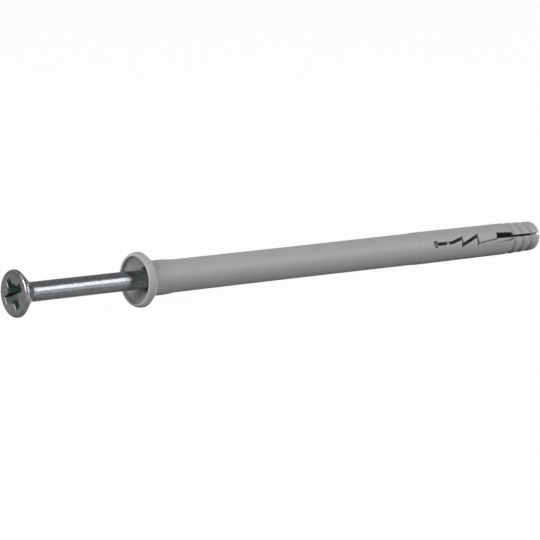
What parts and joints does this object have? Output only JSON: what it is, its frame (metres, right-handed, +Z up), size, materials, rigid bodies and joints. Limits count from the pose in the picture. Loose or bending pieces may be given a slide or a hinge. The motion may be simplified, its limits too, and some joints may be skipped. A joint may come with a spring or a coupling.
{
  "type": "hammer fixing plug",
  "caption": "Grey plastic hammer-in wall plug with a countersunk collar, a zigzag-slotted spread zone and a split tip, with its pre-mounted zinc-plated nail-screw.",
  "frame": {"origin": "on the axis, at the plane where the collar meets the band behind it", "axes": "+X along the axis from the nail-screw's head to the sleeve's tip, the way it is driven; +Z up with the plug lying down"},
  "size_m": [0.1562, 0.0126, 0.0126],
  "materials": {
    "grey_polyamide": "moulded, satin",
    "zinc_plated_steel": "zinc-plated, bright"
  },
  "bodies": {
    "sleeve": {"sleeve": "grey_polyamide"},
    "nail_screw": {"nail_screw": "zinc_plated_steel"}
  },
  "joints": [
    {"name": "nail_drive", "type": "slide", "parent": "sleeve", "child": "nail_screw", "axis": [1, 0, 0], "range_m": [0, 0.0323]}
  ]
}
